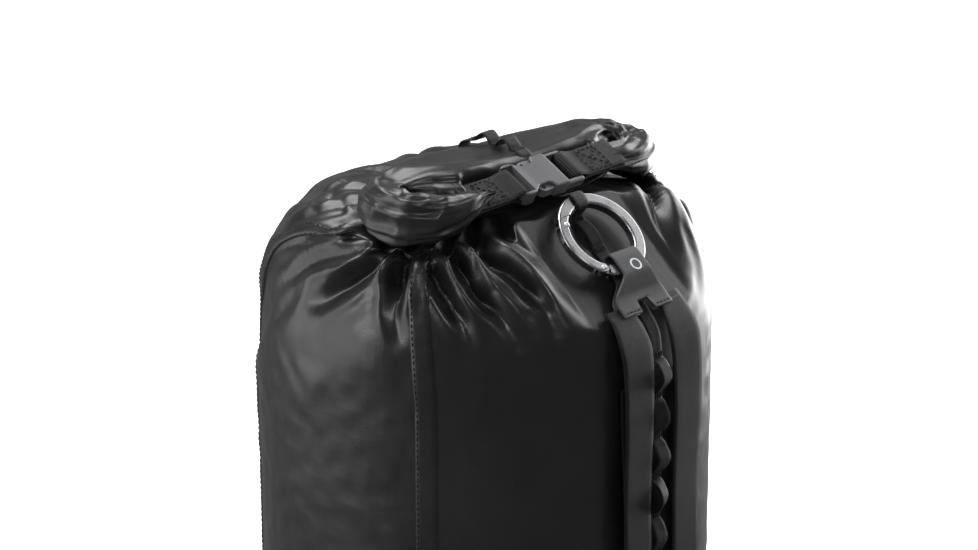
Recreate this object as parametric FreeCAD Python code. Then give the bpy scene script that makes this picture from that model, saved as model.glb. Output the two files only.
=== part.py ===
"""Compression sack with a roll-top closure, in millimetres.

The sack stands on its base at z = 0 with its axis on +Z. The rolled mouth lies along X, and the front,
with the daisy chain, the ring carabiner and the two carry straps, faces -Y.
Each sub-part is one closed solid, or a group of like solids, written to parts/NAME.step.
"""

import FreeCAD, Part

import os
from math import cos, degrees, hypot, radians, sin, sqrt

V = FreeCAD.Vector
X_AXIS, Y_AXIS, Z_AXIS = V(1, 0, 0), V(0, 1, 0), V(0, 0, 1)

# ---------------------------------------------------------------- sack
sack_radius = 130.0            # stuffed
sack_top = 399.0               # crown, under the rolled mouth
shoulder_z = sack_top - 74.0   # where the side wall starts to curve in
crown_radius = 50.0            # flat part of the crown
base_edge = 18.0               # rounding between base and wall
fabric = 1.2                   # panel thickness as modelled
load_gap = 0.3                 # between the fabric and what is packed
seam_angles = {"front_left": -62.0, "back_left": -134.0, "front_right": 62.0, "back_right": 134.0}
seam_width = 9.0
seam_height = 0.9
binding_height = 9.0
binding_thickness = 1.4
facet_elevation = 50.0         # of the outward normal of the flattened front shoulder
facet_y, facet_z = 42.0 - sack_radius, sack_top - 18.0   # a point on it

# ---------------------------------------------------------------- rolled mouth
roll_front, roll_back = facet_y + 30.0, 16.0
roll_left, roll_right = 32.0 - sack_radius, sack_radius - 38.0
roll_top = sack_top + 26.0
roll_edge = 10.0
left_end_x = (17.0 - sack_radius, -58.0)
right_end_x = (50.0, sack_radius - 25.0)
end_front, end_back = roll_front - 3.0, roll_back - 13.0
left_end_z = (sack_top - 4.0, sack_top + 31.0)
right_end_z = (sack_top - 10.0, sack_top + 25.0)
end_edge = 13.0
neck_inset = 11.0              # of the gathered fabric under each end of the roll
stiffener_width = 22.0
stiffener_thickness = 1.4
stiffener_z = sack_top + 12.0
stiffener_inset = 10.0         # from each end of the roll
stiffener_back = 11.0          # from the back of the roll

# ---------------------------------------------------------------- closure buckle and webbing
closure_x, closure_y, closure_z = -10.0, roll_front + 10.5, sack_top + 17.0   # middle of the buckle
closure_tilt = 27.0            # of the buckle's face, forward from level
closure_seat = 6.2             # from the middle of the buckle down to the roll
closure_room = 2.4             # between the buckle and the roll behind it
channel_edge = 4.0
webbing_hold = 8.0             # length of each webbing inside the roll
webbing_width = 20.0
webbing_thickness = 1.3
buckle_half = webbing_width / 2 + 2.5
buckle_thickness = 9.0
socket_length = 15.3           # from the middle to the mouth
slot_inner, slot_outer = 10.5, 15.0
bar_end = 19.0
bar_half = 1.9                 # half the thickness of the bars that the webbing goes round
plate = 1.6                    # top and bottom walls of the socket
side_wall = 1.6
window_end, window_start = 8.0, 4.5
recess_depth = 4.2
slide_gap = 0.25
hook_reach = buckle_half - 0.5   # half width over the latched hooks
prong_pivot_x, prong_pivot_y = 11.5, buckle_half - 4.3
prong_half = 1.2
prong_head_x, prong_head_y, prong_head = -2.2, buckle_half - 3.7, 3.4
eyelet = 1.15
prong_half_thickness = buckle_thickness / 2 - plate - 0.5
tongue_half = 1.5
rail_width = 2.2
rail_half_height = buckle_thickness / 2 - 1.5
plug_end = 29.5
plug_slot = (17.0, 25.3)
flange = (15.6, 17.0)
pinch_gap = 0.1

# ---------------------------------------------------------------- ring carabiner
ring_outer = 27.5
ring_band = 7.2
ring_thickness = 5.6
ring_chamfer = 1.3
ring_y, ring_z = facet_y, facet_z + 9.0
hinge_angle = 233.0            # of the gate's pin, from +X towards the top of the ring
latch_angle = 136.0            # where the gate meets the nose
hinge_face_angle = 242.0
gate_gap = 0.15
gate_inner, gate_outer = 20.9, 27.1
gate_half = ring_thickness / 2 - 0.2
gate_knuckle = 3.1
fork_half = 1.5                # half the width of the gate's slots
tongue_plate_half = 1.3        # half the thickness of what stands in them
nose_angle = 150.0
nose_inner, nose_outer = 23.3, 26.0
pin_radius = 1.1
latch_pin_radius = 1.0
latch_pin_angle = 147.5
pin_clearance = 0.05
spring_bore = 1.3
spring_start, spring_length = 6.6, 9.0
spring_coil, spring_wire, spring_turns = 0.8, 0.2, 6

# ---------------------------------------------------------------- tab, straps and chain
tab_thickness = 1.3
tab_fold_half = 10.0
tab_foot_half = 19.0
tab_notch_half = 5.5
tab_fold_x = 3.5               # offset of the fold from the middle of the tab's feet
tab_fold_s, tab_end_s, tab_neck_s, tab_notch_s = -12.5, -50.0, -26.0, -43.0
tab_clear = 0.35               # over the chain tape
sewn_gap = 0.15                # between plies sewn together
strap_width = 23.0
strap_thickness = 1.4
strap_centre = 19.5
strap_clear = 0.35
strap_sewn = 8.0               # length held between the tab's two plies
strap_turn_z = 52.0
keeper_z = (58.0, 72.0)
keeper_thickness = 1.2
chain_width = 9.0
chain_thickness = 1.0
chain_spacing = 24.0           # wanted between tacks
chain_bottom = 44.0
chain_top = shoulder_z + 7.0   # last tack on the front wall
chain_loops = round((chain_top - chain_bottom) / chain_spacing)
chain_pitch = (chain_top - chain_bottom) / chain_loops
loop_rise = 8.0
eye_loop_rise = 3.4            # of the loop inside the ring
ring_gap = 0.5                 # between the ring and the loop that it hangs in
roll_loop_rise = 6.5
wall_gap = 0.25                # between the tape and the wall that it climbs
tack_length, tack_height = 3.6, 0.6


def polar(radius, angle_deg):
    return radius * cos(radians(angle_deg)), radius * sin(radians(angle_deg))


def export(name, *solids):
    shape = solids[0] if len(solids) == 1 else Part.makeCompound(list(solids))
    if not shape.isValid() or shape.Volume <= 0:
        raise ValueError(name + " is not a valid solid")
    shape.exportStep(os.path.join("parts", name + ".step"))


def box(x, y, z):
    """Box from three (low, high) pairs."""
    return Part.makeBox(x[1] - x[0], y[1] - y[0], z[1] - z[0], V(x[0], y[0], z[0]))


def rounded(solid, radius, chosen=lambda edge: True):
    """Solid with the chosen edges rounded."""
    edges = [edge for edge in solid.Edges if chosen(edge)]
    return solid.makeFillet(radius, edges)


def along(direction):
    """Edge test: straight and parallel to a direction."""
    def test(edge):
        if edge.Curve.TypeId != "Part::GeomLine":
            return False
        return abs(abs(edge.tangentAt(edge.FirstParameter).dot(direction)) - 1) < 1e-6
    return test


def prism(points, depth):
    """Polygon of 3-D points, extruded by a vector."""
    return Part.Face(Part.makePolygon(list(points) + [points[0]])).extrude(depth)


def ribbon(points, thickness, side, width, samples=4):
    """Tape of a width along side that follows a smooth curve through points, which lie square to side."""
    curve = Part.BSplineCurve()
    curve.interpolate(points)
    knots = curve.getKnots()
    edges = []
    for start, end in zip(knots, knots[1:]):
        stations = [start + (end - start) * i / samples for i in range(samples + 1)]
        headings = [V(*curve.tangent(u)[0]) for u in stations]
        for sign in (-1, 1):
            run = [curve.value(u) + side.cross(h).normalize() * (sign * thickness / 2)
                   for u, h in zip(stations, headings)]
            edge = Part.BSplineCurve()
            edge.interpolate(Points=run, InitialTangent=headings[0], FinalTangent=headings[-1])
            edges.append(edge.toShape())
    for u in (knots[0], knots[-1]):
        out = side.cross(V(*curve.tangent(u)[0])).normalize() * (thickness / 2)
        edges.append(Part.makeLine(curve.value(u) - out, curve.value(u) + out))
    outline = Part.Wire(Part.__sortEdges__(edges))
    solid = Part.Face(outline).extrude(side * width).translated(side * (-width / 2))
    return solid if solid.Volume > 0 else solid.reversed()


def largest(shape):
    """The largest solid of a shape, without the crumbs that a cut left behind."""
    solid = max(shape.Solids, key=lambda one: one.Volume)
    if solid.Volume < 0.9 * shape.Volume:
        raise ValueError("a cut split the piece")
    return solid


# ---------------------------------------------------------------- sack
def sack_solid(inset):
    """The stuffed sack's outer shape, taken in by an inset."""
    wall = sack_radius - inset
    edge = base_edge - inset
    top = sack_top - inset
    arc_mid = edge * (1 - sqrt(0.5))
    shoulder = Part.BezierCurve()
    shoulder.setPoles([V(wall, 0, shoulder_z), V(wall, 0, top), V(crown_radius, 0, top)])
    shoulder.setWeight(2, sqrt(0.5))
    corner = Part.Arc(V(wall - edge, 0, inset), V(wall - arc_mid, 0, inset + arc_mid), V(wall, 0, inset + edge))
    outline = Part.Wire([
        Part.makeLine(V(0, 0, inset), V(wall - edge, 0, inset)),
        corner.toShape(),
        Part.makeLine(V(wall, 0, inset + edge), V(wall, 0, shoulder_z)),
        shoulder.toShape(),
        Part.makeLine(V(crown_radius, 0, top), V(0, 0, top)),
        Part.makeLine(V(0, 0, top), V(0, 0, inset)),
    ])
    solid = Part.Face(outline).revolve(V(0, 0, 0), Z_AXIS, 360)
    return solid.cut(facet_block(inset))


def dome_radius(z):
    """Radius of the sack's shoulder at a height."""
    rise = (z - shoulder_z) / (sack_top - shoulder_z)
    return crown_radius + (sack_radius - crown_radius) * sqrt(1 - rise ** 2)


def facet_block(inset):
    """What the flattened front shoulder takes off."""
    size = 4 * sack_radius
    block = box((-size, size), (-size, size), (-inset, size))
    tilt = FreeCAD.Rotation(X_AXIS, 90 - facet_elevation)
    block.Placement = FreeCAD.Placement(V(0, facet_y, facet_z), tilt)
    return block


def wedge(start, end):
    """Sector round the sack's axis between two angles, measured from the front towards +X."""
    height = 3 * sack_top
    sector = Part.makeCylinder(3 * sack_radius, height, V(0, 0, -sack_top), Z_AXIS, end - start)
    return sector.rotated(V(0, 0, 0), Z_AXIS, start - 90)


def sack_panels():
    shell = sack_solid(0).cut(sack_solid(fabric))
    below = box((-2 * sack_radius, 2 * sack_radius), (-2 * sack_radius, 2 * sack_radius), (-1, base_edge))
    wall = shell.cut(below)
    front_left, front_right = seam_angles["front_left"], seam_angles["front_right"]
    back_left, back_right = seam_angles["back_left"], seam_angles["back_right"]
    return {
        "base_panel": shell.common(below),
        "front_panel": wall.common(wedge(front_left, front_right)),
        "left_side_panel": wall.common(wedge(back_left, front_left)),
        "right_side_panel": wall.common(wedge(front_right, back_right)),
        "back_panel": wall.common(wedge(back_right, back_left + 360)),
    }


def seam_tape(angle, collar):
    """Felled seam standing on the panels at an angle round the sack."""
    half = degrees(seam_width / 2 / sack_radius)
    skin = sack_solid(-seam_height).cut(sack_solid(0))
    tape = skin.common(wedge(angle - half, angle + half))
    low = box((-2 * sack_radius, 2 * sack_radius), (-2 * sack_radius, 2 * sack_radius),
              (-10, base_edge + binding_height / 2))
    crown = Part.makeCylinder(crown_radius + seam_width, 2 * sack_top)
    return largest(tape.cut(low).cut(crown).cut(collar))


def base_binding():
    half = binding_height / 2
    outer = Part.makeCylinder(sack_radius + binding_thickness, binding_height, V(0, 0, base_edge - half))
    rims = [edge for edge in outer.Edges if edge.Curve.TypeId == "Part::GeomCircle"]
    outer = outer.makeFillet(binding_thickness * 0.8, rims)
    return outer.cut(sack_solid(0)).cut(Part.makeCylinder(sack_radius, 2 * binding_height, V(0, 0, base_edge)))


# ---------------------------------------------------------------- rolled mouth
def end_of_roll(x, z):
    """Bent end of the roll, with the gathered fabric that it stands on."""
    end = rounded(box(x, (end_front, end_back), z), end_edge)
    neck = box((x[0] + neck_inset, x[1] - neck_inset), (end_front + neck_inset, end_back - neck_inset),
               (shoulder_z, z[0] + end_edge))
    return end.fuse(rounded(neck, neck_inset, along(Z_AXIS)))


def closure_channel():
    """Room in the roll for the buckle and its webbing, with an upright wall behind."""
    start, width = left_end_x[1], right_end_x[0] - left_end_x[1]
    front, corner = closure_point(-3 * buckle_half, -closure_seat), channel_corner()
    above = 2 * roll_top
    outline = [V(start, p.y, p.z) for p in (front, corner, V(0, corner.y, above), V(0, front.y, above))]
    return prism(outline, X_AXIS * width)


def channel_corner():
    """Where the channel's floor meets its wall."""
    return closure_point(buckle_half + closure_room, -closure_seat)


def rolled_collar(webbings):
    bar = box((roll_left, roll_right), (roll_front, roll_back), (sack_top - fabric, roll_top))
    bar = rounded(bar, roll_edge, lambda e: e.BoundBox.ZMin > sack_top).cut(closure_channel())
    wall = channel_corner().y
    bar = rounded(bar, channel_edge, lambda e: along(X_AXIS)(e) and e.CenterOfMass.distanceToPoint(
        V(e.CenterOfMass.x, wall, roll_top)) < 0.1)
    collar = bar.fuse(end_of_roll(left_end_x, left_end_z)).fuse(end_of_roll(right_end_x, right_end_z))
    collar = collar.removeSplitter().cut(sack_solid(0)).cut(stiffener_strip())
    for webbing in webbings:
        collar = collar.cut(webbing)
    return collar


def stiffener_strip():
    back = roll_back - stiffener_back
    strip = box((roll_left + stiffener_inset, roll_right - stiffener_inset), (back - stiffener_width, back),
                (stiffener_z, stiffener_z + stiffener_thickness))
    return rounded(strip, stiffener_width / 5, along(Z_AXIS))


# ---------------------------------------------------------------- closure
closure_frame = FreeCAD.Placement(V(closure_x, closure_y, closure_z), FreeCAD.Rotation(X_AXIS, closure_tilt))


def on_closure(shape):
    """Moves a shape from the buckle's own axes, with x along the webbing and z out of its face, into place."""
    shape.Placement = closure_frame.multiply(shape.Placement)
    return shape


def socket_outline():
    """Half outline of the socket, from its mouth to its bar, on the +y side."""
    half = buckle_half
    waist = half - recess_depth
    return [(socket_length, half), (window_start + 1.2, half), (window_start - 0.6, waist + 1.0),
            (window_start - 2.6, waist), (-4.6, waist), (-7.6, waist + 1.6), (-10.6, half - 0.5),
            (-13.2, half), (-bar_end, half)]


def buckle_socket():
    half = buckle_half
    upper = socket_outline()
    outline = [V(x, y, -buckle_thickness / 2) for x, y in upper]
    outline += [V(x, -y, -buckle_thickness / 2) for x, y in reversed(upper)]
    body = prism(outline, V(0, 0, buckle_thickness))
    corner = lambda e: along(Z_AXIS)(e) and e.BoundBox.XMin < -bar_end + 0.1
    body = rounded(body, 3.2, corner)
    rims = lambda e: (abs(abs(e.CenterOfMass.z) - buckle_thickness / 2) < 1e-6
                      and e.BoundBox.XMax < socket_length + 1)
    body = body.makeFillet(1.0, [e for e in body.Edges if rims(e)])
    inside = buckle_thickness / 2 - plate
    cavity = half - side_wall
    body = body.cut(box((-window_end - 0.8, socket_length + 1), (-cavity, cavity), (-inside, inside)))
    body = body.cut(box((-window_end, window_start), (-half - 1, half + 1), (-inside, inside)))
    slot_half = webbing_width / 2 + 0.6
    slot = box((-slot_outer, -slot_inner), (-slot_half, slot_half), (-buckle_thickness, buckle_thickness))
    body = body.cut(rounded(slot, 0.5, along(Z_AXIS)))
    for side in (-1, 1):
        z = (bar_half, buckle_thickness) if side > 0 else (-buckle_thickness, -bar_half)
        body = body.cut(box((-bar_end - 1, -slot_outer + 0.01), (-slot_half, slot_half), z))
    return body


def buckle_plug():
    half = buckle_half
    inner = half - side_wall - slide_gap
    inside = buckle_thickness / 2 - plate - slide_gap
    stem = rounded(box((prong_pivot_x, flange[1]), (-inner, inner), (-inside, inside)), 0.5, along(X_AXIS))
    frame = box((flange[0], plug_end), (-half, half), (-rail_half_height, rail_half_height))
    frame = rounded(frame, 1.3, along(X_AXIS))
    frame = rounded(frame, 2.4, lambda e: along(Z_AXIS)(e) and e.BoundBox.XMin > plug_end - 0.1)
    opening = half - rail_width
    window = box(plug_slot, (-opening, opening), (-half, half))
    frame = frame.cut(rounded(window, 0.4, along(Z_AXIS)))
    for side in (-1, 1):
        z = (bar_half, half) if side > 0 else (-half, -bar_half)
        frame = frame.cut(box((plug_slot[1] - 0.01, plug_end + 1), (-opening, opening), z))
        y = (half - 0.6, half + 1) if side > 0 else (-half - 1, -half + 0.6)
        frame = frame.cut(box((flange[1] + 1.2, plug_end - 3.0), y, (-0.5, 0.5)))
    tongue = rounded(box((-4.0, prong_pivot_x), (-tongue_half, tongue_half), (-tongue_half, tongue_half)), 0.6,
                     along(X_AXIS))
    plug = frame.fuse(stem).fuse(tongue)
    for side in (-1, 1):
        foot = V(prong_pivot_x, side * prong_pivot_y, -buckle_thickness)
        seat = Part.makeCylinder(prong_half + pinch_gap, 2 * buckle_thickness, foot)
        plug = plug.cut(seat)
    return plug.removeSplitter()


def buckle_prong(side):
    """Spring arm with its hook and thumb pad, on the +y side (1) or the -y side (-1)."""
    low, height = V(0, 0, -prong_half_thickness), V(0, 0, 2 * prong_half_thickness)
    arm = prism([V(x, y, low.z) for x, y in (
        (prong_pivot_x, prong_pivot_y - prong_half), (prong_pivot_x, prong_pivot_y + prong_half),
        (window_start + 0.4, prong_pivot_y + prong_half), (window_start - 0.2, prong_pivot_y + prong_half + 0.4),
        (window_start - 0.2, hook_reach - 0.5), (window_start - 0.9, hook_reach), (prong_head_x, hook_reach + 0.2),
        (prong_head_x, prong_pivot_y - prong_half),
    )], height)
    knuckle = Part.makeCylinder(prong_half, height.z, V(prong_pivot_x, prong_pivot_y, low.z))
    head = Part.makeCylinder(prong_head, height.z, V(prong_head_x, prong_head_y, low.z))
    hole = Part.makeCylinder(eyelet, 4 * height.z, V(prong_head_x, prong_head_y + 0.7, -2 * height.z))
    prong = arm.fuse(knuckle).fuse(head).removeSplitter().cut(hole)
    if side < 0:
        prong = prong.mirror(V(0, 0, 0), Y_AXIS)
    return prong


def closure_webbing(bar_x, end_x):
    """Doubled webbing that runs from a buckle bar to a sewn end."""
    away = 1 if end_x > bar_x else -1
    eye = hypot(bar_half, (bar_end - slot_outer) / 2) + 0.15
    over = eye + webbing_thickness
    pinch = 9.0
    gap = 0.01
    arc_back = V(bar_x - away * over, 0, 0)
    outer = [Part.Arc(V(bar_x, 0, over), arc_back, V(bar_x, 0, -over)).toShape(),
             Part.makeLine(V(bar_x, 0, -over), V(bar_x + away * pinch, 0, -webbing_thickness - gap)),
             Part.makeLine(V(bar_x + away * pinch, 0, -webbing_thickness - gap),
                           V(end_x, 0, -webbing_thickness - gap)),
             Part.makeLine(V(end_x, 0, -webbing_thickness - gap), V(end_x, 0, webbing_thickness + gap)),
             Part.makeLine(V(end_x, 0, webbing_thickness + gap),
                           V(bar_x + away * pinch, 0, webbing_thickness + gap)),
             Part.makeLine(V(bar_x + away * pinch, 0, webbing_thickness + gap), V(bar_x, 0, over))]
    inner = [Part.Arc(V(bar_x, 0, eye), V(bar_x - away * eye, 0, 0), V(bar_x, 0, -eye)).toShape(),
             Part.makeLine(V(bar_x, 0, -eye), V(bar_x + away * pinch, 0, -gap)),
             Part.makeLine(V(bar_x + away * pinch, 0, -gap), V(bar_x + away * pinch, 0, gap)),
             Part.makeLine(V(bar_x + away * pinch, 0, gap), V(bar_x, 0, eye))]
    width = V(0, webbing_width, 0)
    solid = Part.Face(Part.Wire(outer)).extrude(width).cut(Part.Face(Part.Wire(inner)).extrude(width))
    return solid.translated(V(0, -webbing_width / 2, 0))


# ---------------------------------------------------------------- ring carabiner
ring_frame = FreeCAD.Placement(V(0, ring_y, ring_z), FreeCAD.Rotation(X_AXIS, 90 - facet_elevation))
ring_mid = ring_outer - ring_band / 2
hinge_x, hinge_y = polar(ring_mid, hinge_angle)
latch_x, latch_y = polar(ring_mid, latch_angle)
gate_reach = hypot(latch_x - hinge_x, latch_y - hinge_y)
facet_rise = radians(facet_elevation)
ring_lift = (ring_y - facet_y) * -cos(facet_rise) + (ring_z - facet_z) * sin(facet_rise)   # above the shoulder


def on_ring(shape):
    """Moves a shape from the ring's own axes, with x along X, y up the shoulder and z out of it, into place."""
    shape.Placement = ring_frame.multiply(shape.Placement)
    return shape


def disc(radius, half, x=0.0, y=0.0):
    return Part.makeCylinder(radius, 2 * half, V(x, y, -half))


def band(inner, outer, half, start, end):
    """Part of a flat ring between two angles."""
    sector = Part.makeCylinder(2 * outer, 2 * half, V(0, 0, -half), Z_AXIS, end - start)
    return disc(outer, half).cut(disc(inner, 2 * half)).common(sector.rotated(V(0, 0, 0), Z_AXIS, start))


def edge_round(solid, radius):
    """Chamfers the long curved edges of a flat ring part."""
    rims = [e for e in solid.Edges if e.Curve.TypeId == "Part::GeomCircle" and abs(e.CenterOfMass.z) > 0.1]
    return solid.makeFillet(radius, rims)


def carabiner_frame():
    half = ring_thickness / 2
    ring = edge_round(disc(ring_outer, half).cut(disc(ring_outer - ring_band, 2 * half)), ring_chamfer)
    gap = disc(gate_reach + gate_gap, 2 * half, hinge_x, hinge_y)
    start = latch_angle - 25
    gap = gap.common(band(ring_outer / 2, 2 * ring_outer, 2 * half, start, hinge_face_angle))
    frame = ring.cut(gap)
    nose = band(nose_inner, nose_outer, tongue_plate_half, start + 15, nose_angle)
    stem = band(ring_mid - 2.7, ring_mid + 2.7, tongue_plate_half, hinge_angle, hinge_face_angle + 2)
    eye = disc(2.7, tongue_plate_half, hinge_x, hinge_y)
    frame = frame.fuse(nose).fuse(stem).fuse(eye).removeSplitter()
    return frame.cut(disc(pin_radius + pin_clearance, ring_thickness, hinge_x, hinge_y))


def carabiner_gate():
    arm = edge_round(disc(gate_outer, gate_half).cut(disc(gate_inner, 2 * gate_half)), 1.1)
    arm = arm.common(band(gate_inner / 2, 2 * gate_outer, gate_half, latch_angle - 25, hinge_angle))
    arm = arm.common(disc(gate_reach - gate_gap, gate_half, hinge_x, hinge_y))
    arm = arm.fuse(edge_round(disc(gate_knuckle, gate_half, hinge_x, hinge_y), 0.6)).removeSplitter()
    fork = disc(gate_knuckle + 3.0, fork_half, hinge_x, hinge_y)
    latch_slot = disc(2 * gate_reach, fork_half, hinge_x, hinge_y).cut(disc(gate_reach - 10.5, 2 * fork_half, hinge_x,
                                                                            hinge_y))
    arm = arm.cut(fork).cut(latch_slot)
    latch_x0, latch_y0 = latch_pin_place()
    arm = arm.cut(disc(pin_radius + pin_clearance, ring_thickness, hinge_x, hinge_y))
    arm = arm.cut(disc(latch_pin_radius, ring_thickness, latch_x0, latch_y0))
    return arm.cut(spring_room())


def latch_pin_place():
    """Under the nose, which stops the gate."""
    return polar(nose_inner - latch_pin_radius - 0.1, latch_pin_angle)


def spring_axis():
    """Start and direction of the bore for the gate's spring, along the arm."""
    angle = hinge_angle - degrees(spring_start / ring_mid)
    end = hinge_angle - degrees((spring_start + spring_length) / ring_mid)
    start_point = V(*polar(ring_mid, angle), 0)
    return start_point, V(*polar(ring_mid, end), 0).sub(start_point).normalize()


def spring_room():
    start, direction = spring_axis()
    return Part.makeCylinder(spring_bore, spring_length + 1.5, start - direction * 1.5, direction)


def gate_spring():
    start, direction = spring_axis()
    length = spring_length - 1.4
    helix = Part.makeHelix(length / spring_turns, length, spring_coil)
    ring = Part.Wire(Part.Circle(V(spring_coil, 0, 0), Y_AXIS, spring_wire).toShape())
    spring = Part.Wire(helix).makePipeShell([ring], True, True)
    spring.Placement = FreeCAD.Placement(start + direction * 0.5, FreeCAD.Rotation(Z_AXIS, direction))
    return spring


def rivet(radius, x, y):
    """Pin across the gate with a low domed head on each side."""
    half = ring_thickness / 2
    pin = disc(radius, half, x, y)
    for side in (-1, 1):
        head = Part.makeSphere(2.0, V(x, y, side * (half - 1.35)))
        beyond = V(x - 5, y - 5, gate_half if side > 0 else -gate_half - 5)
        pin = pin.fuse(head.common(Part.makeBox(10, 10, 5, beyond)))
    return pin.removeSplitter()


# ---------------------------------------------------------------- tab, straps and chain
def shoulder_point(s, v, x=0.0):
    """Point at s up the front shoulder from the ring's centre and v out from the ring's mid plane."""
    up, out = cos(facet_rise), sin(facet_rise)
    return V(x, ring_y + s * out - v * up, ring_z + s * up + v * out)


def strap_tab():
    """Folded tab: a U round the bottom of the ring, whose plies hold the straps' ends."""
    ply = tab_thickness / 2
    clear = ring_thickness / 2 + 0.6 + ply
    rest = -ring_lift + chain_thickness + tab_clear + ply
    outside = rest + tab_thickness + strap_thickness + 2 * sewn_gap
    held = [tab_end_s + strap_sewn * i / 2 for i in range(3)]
    bend = tab_fold_s - 1.6
    points = [(s, rest) for s in held]
    points += [(-33.0, rest + 0.3), (-27.0, -clear), (-20.0, -clear), (bend, -clear * 0.8)]
    points += [(tab_fold_s - ply, 0), (bend, clear * 0.8), (-20.0, clear), (-27.0, clear), (-32.0, clear - 1.6)]
    points += [(s, outside) for s in reversed(held)]
    strip = ribbon([shoulder_point(s, v) for s, v in points], tab_thickness, X_AXIS, 2 * tab_foot_half)
    half = [(tab_fold_x, tab_fold_half, tab_fold_s + 5), (tab_fold_x, tab_fold_half, tab_neck_s),
            (0, tab_foot_half, tab_end_s + 8), (0, tab_foot_half, tab_end_s - 5), (0, tab_notch_half, tab_end_s - 5),
            (0, tab_notch_half, tab_notch_s - 3), (0, tab_notch_half - 3, tab_notch_s)]
    outline = [shoulder_point(s, -20, middle + x) for middle, x, s in half]
    outline += [shoulder_point(s, -20, middle - x) for middle, x, s in reversed(half)]
    return strip.common(prism(outline, shoulder_point(0, 40) - shoulder_point(0, 0)))


def strap_path():
    """Middle line of a strap: out of the tab, down the front, round its keeper and back up."""
    rest = -ring_lift + chain_thickness + tab_clear + tab_thickness + sewn_gap + strap_thickness / 2
    back = sack_radius + strap_clear + strap_thickness / 2
    front = back + strap_thickness + keeper_thickness + 4 * strap_clear
    middle = (front + back) / 2
    top = shoulder_point(tab_end_s, rest)
    points = [shoulder_point(tab_end_s + strap_sewn * i / 2, rest) for i in (2, 1, 0)]
    points += [V(0, -front + 2.2, top.z - 11), V(0, -front - 0.6, top.z - 24)]
    slack = ((1.2, shoulder_z - 25), (1.2, 0.7 * shoulder_z), (1.0, 0.5 * shoulder_z), (0.2, 0.35 * shoulder_z))
    points += [V(0, -front - bulge, z) for bulge, z in slack + ((0, 75), (0, 58))]
    turn = (front - back) / 2
    points += [V(0, -middle - turn * cos(radians(a)), strap_turn_z - turn * sin(radians(a)))
               for a in (0, 45, 90, 135, 180)]
    points += [V(0, -back, z) for z in (58, 70, 0.5 * shoulder_z, shoulder_z - 7)]
    return points


def carry_strap(side):
    return ribbon(strap_path(), strap_thickness, X_AXIS, strap_width).translated(V(side * strap_centre, 0, 0))


def strap_keeper(side):
    """Short tape across the strap, sewn down at both ends."""
    back = sack_radius + 2.5 * strap_clear + strap_thickness + keeper_thickness / 2
    half = strap_width / 2 + keeper_thickness + strap_clear
    inner, outer = strap_centre - half, strap_centre + half
    far = outer + 8.0
    sewn = sqrt((sack_radius + keeper_thickness / 2) ** 2 - far ** 2)
    points = [V(inner, -sack_radius + 1, 0), V(inner, -back + 1.4, 0), V(inner + 1.6, -back, 0),
              V(inner + 5, -back, 0), V(strap_centre, -back, 0), V(outer - 5, -back, 0), V(outer - 2, -back, 0),
              V(outer + 1, -back + 2.2, 0), V(far, -sewn, 0)]
    tape = ribbon(points, keeper_thickness, Z_AXIS, keeper_z[1] - keeper_z[0])
    tape = largest(tape.translated(V(0, 0, (keeper_z[0] + keeper_z[1]) / 2)).cut(sack_solid(0)))
    if side < 0:
        tape = tape.mirror(V(0, 0, 0), X_AXIS)
    return tape


def loop_points(pitch, rise):
    """Middle line of one loop between two tacks, as (distance along, height)."""
    foot, lean, lift = tack_length / 2, 0.12 * pitch, chain_thickness / 2
    return [(foot, lift), (foot + lean, rise / 2), (pitch / 2, rise - lift), (pitch - foot - lean, rise / 2),
            (pitch - foot, lift)]


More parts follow.
